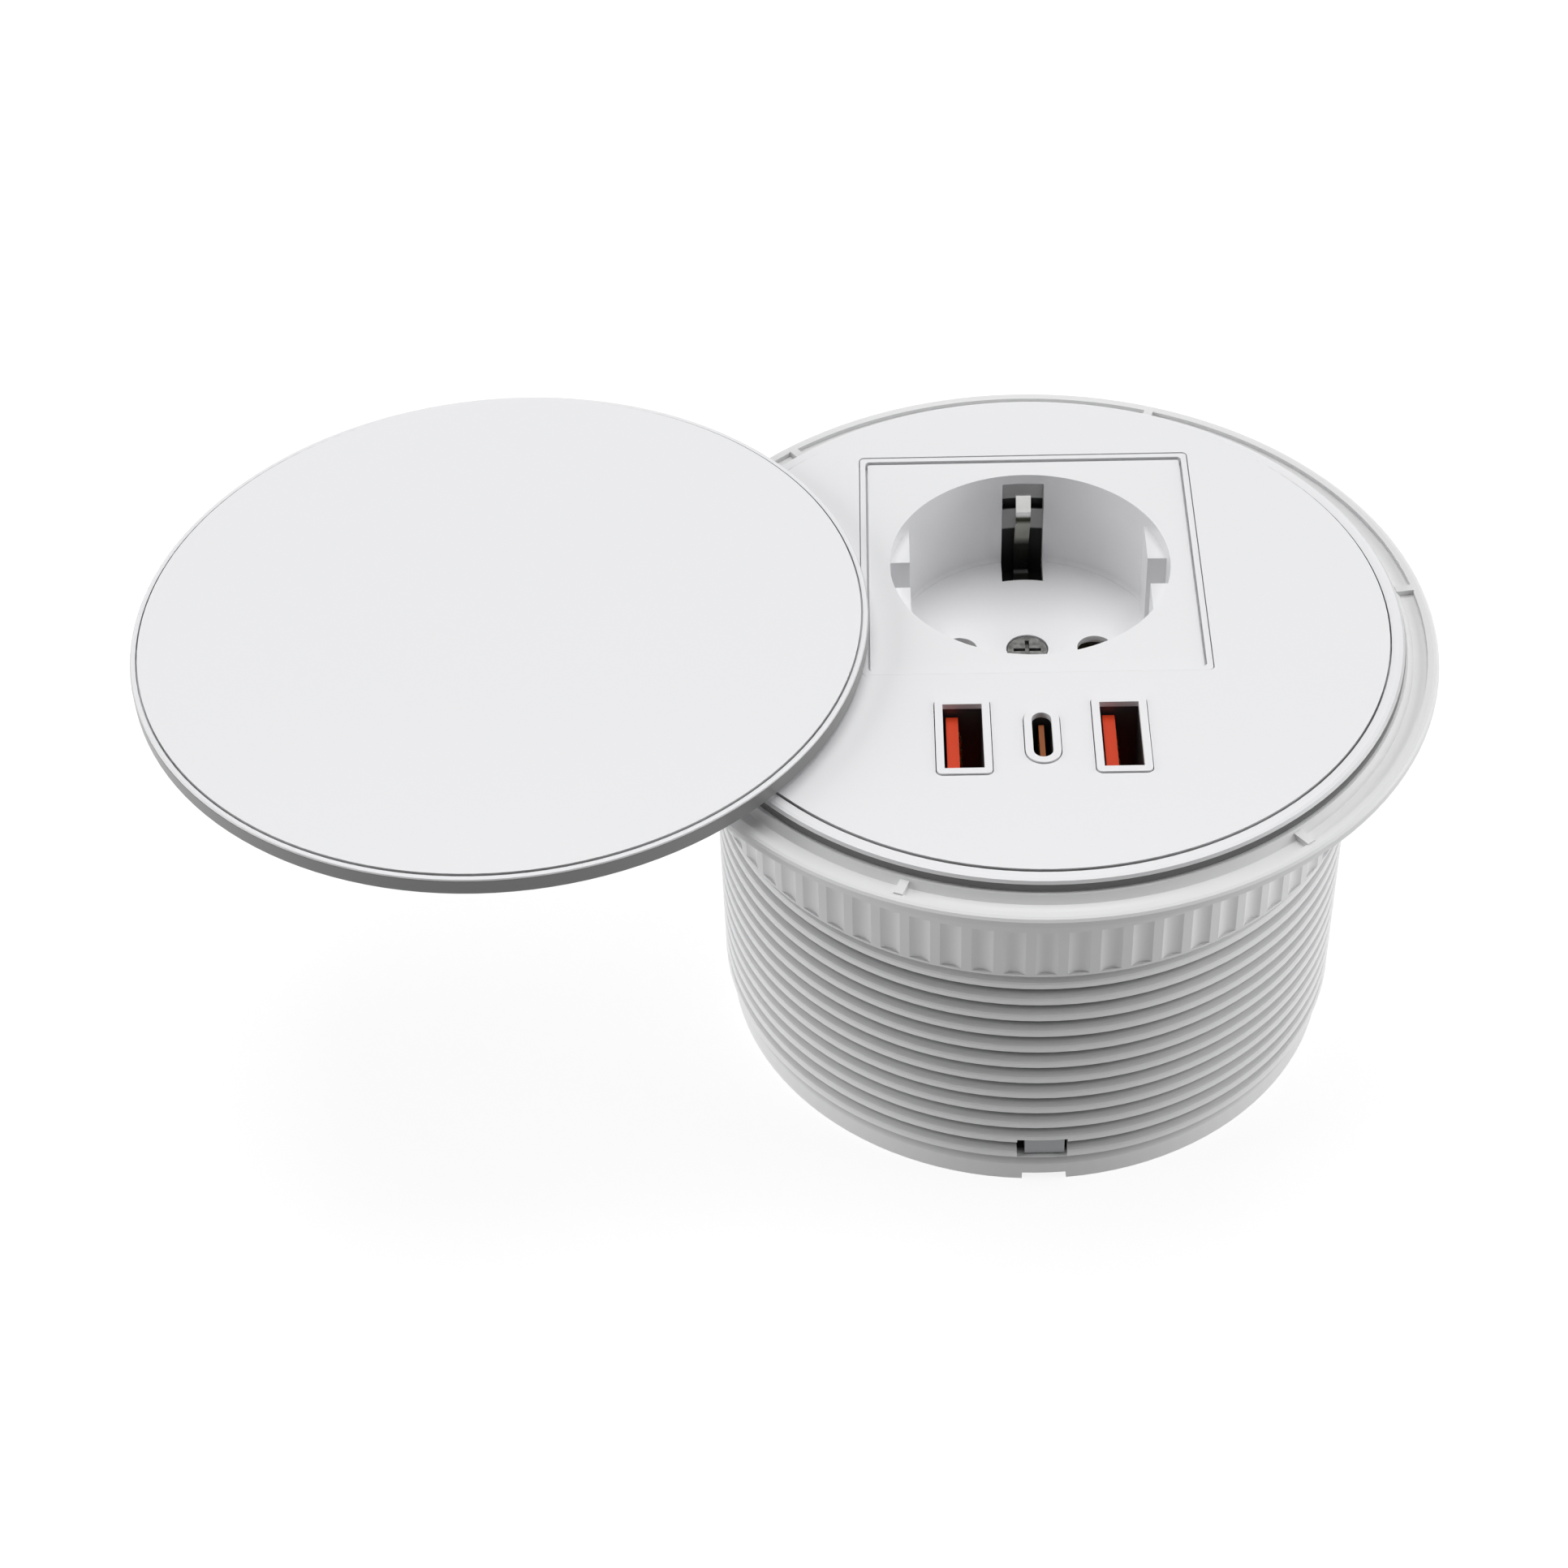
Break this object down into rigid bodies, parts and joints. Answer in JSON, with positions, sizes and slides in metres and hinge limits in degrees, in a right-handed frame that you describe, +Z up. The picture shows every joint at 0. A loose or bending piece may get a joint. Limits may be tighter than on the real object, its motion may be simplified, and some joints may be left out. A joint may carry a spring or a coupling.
{
  "type": "round in-desk socket outlet with swivel cover",
  "caption": "Round white socket outlet for a hole in a worktop: earthed socket, charging ports, a round cover that swivels over them, and a threaded barrel with a ring nut.",
  "frame": {"origin": "centre of the flange's seat on the worktop, on the axis of the threaded barrel", "axes": "+Z up out of the worktop along the barrel, -Y towards the charging ports, and the cover's pivot is at -X"},
  "size_m": [0.1747, 0.1078, 0.068],
  "materials": {
    "white_gloss": "fine moulded gloss",
    "white_matte": "moulded satin",
    "pale_rubber": "soft matt",
    "grey_plastic": "moulded satin",
    "black_plastic": "moulded satin",
    "black_rubber": "soft matt",
    "plated_steel": "bright nickel plate",
    "zinc_steel": "zinc plate",
    "brass": "plain",
    "acetal": "plain",
    "red_plastic": "moulded",
    "copper_blade": "moulded",
    "board_green": "solder mask",
    "ferrite": "plain",
    "capacitor_sleeve": "shrink sleeve"
  },
  "bodies": {
    "housing": {"housing_barrel": "white_matte", "flange_gasket": "pale_rubber", "head_frame": "white_gloss", "face_plate": "white_gloss", "head_screws": "zinc_steel", "insert_frame": "white_gloss", "socket_cover": "white_gloss", "centre_screw": "zinc_steel", "earth_strap": "plated_steel", "neutral_contact": "brass", "live_contact": "brass", "terminal_screws": "zinc_steel", "socket_base": "black_plastic", "usb_bezel": "white_gloss", "port_board": "board_green", "usb_a_shell_left": "plated_steel", "usb_a_tongue_left": "red_plastic", "usb_c_shell": "plated_steel", "usb_c_tongue": "copper_blade", "usb_a_shell_right": "plated_steel", "usb_a_tongue_right": "red_plastic", "power_board": "board_green", "link_pins": "brass", "transformer": "ferrite", "mains_capacitor": "capacitor_sleeve", "output_capacitors": "capacitor_sleeve", "pivot_bush": "acetal", "bottom_cap": "grey_plastic", "inlet_grommet": "black_rubber", "cord_clamp": "grey_plastic", "clamp_screws": "zinc_steel"},
    "cover": {"cover_shell": "white_gloss", "cover_plate": "white_gloss", "pivot_pin": "zinc_steel", "pivot_washer": "acetal", "spring_washer": "zinc_steel", "pivot_nut": "zinc_steel"},
    "washer": {"clamp_washer": "white_matte"},
    "nut": {"clamp_nut": "white_matte"}
  },
  "joints": [
    {"name": "cover_swivel", "type": "hinge", "parent": "housing", "child": "cover", "pos_m": [-0.03575, 0, 0.005], "axis": [0, 0, 1], "range_deg": [-2.2, 177.8]},
    {"name": "nut_travel", "type": "slide", "parent": "housing", "child": "washer", "axis": [0, 0, 1], "range_m": [-0.0361, 0.004]},
    {"name": "nut_turn", "type": "hinge", "parent": "washer", "child": "nut", "pos_m": [0, 0, -0.0116], "axis": [0, 0, 1], "range_deg": [-4219, 467.5]}
  ],
  "couplings": [
    {"joint": "nut_travel", "follows": "nut_turn", "m_per_rad": 0.0004902}
  ]
}
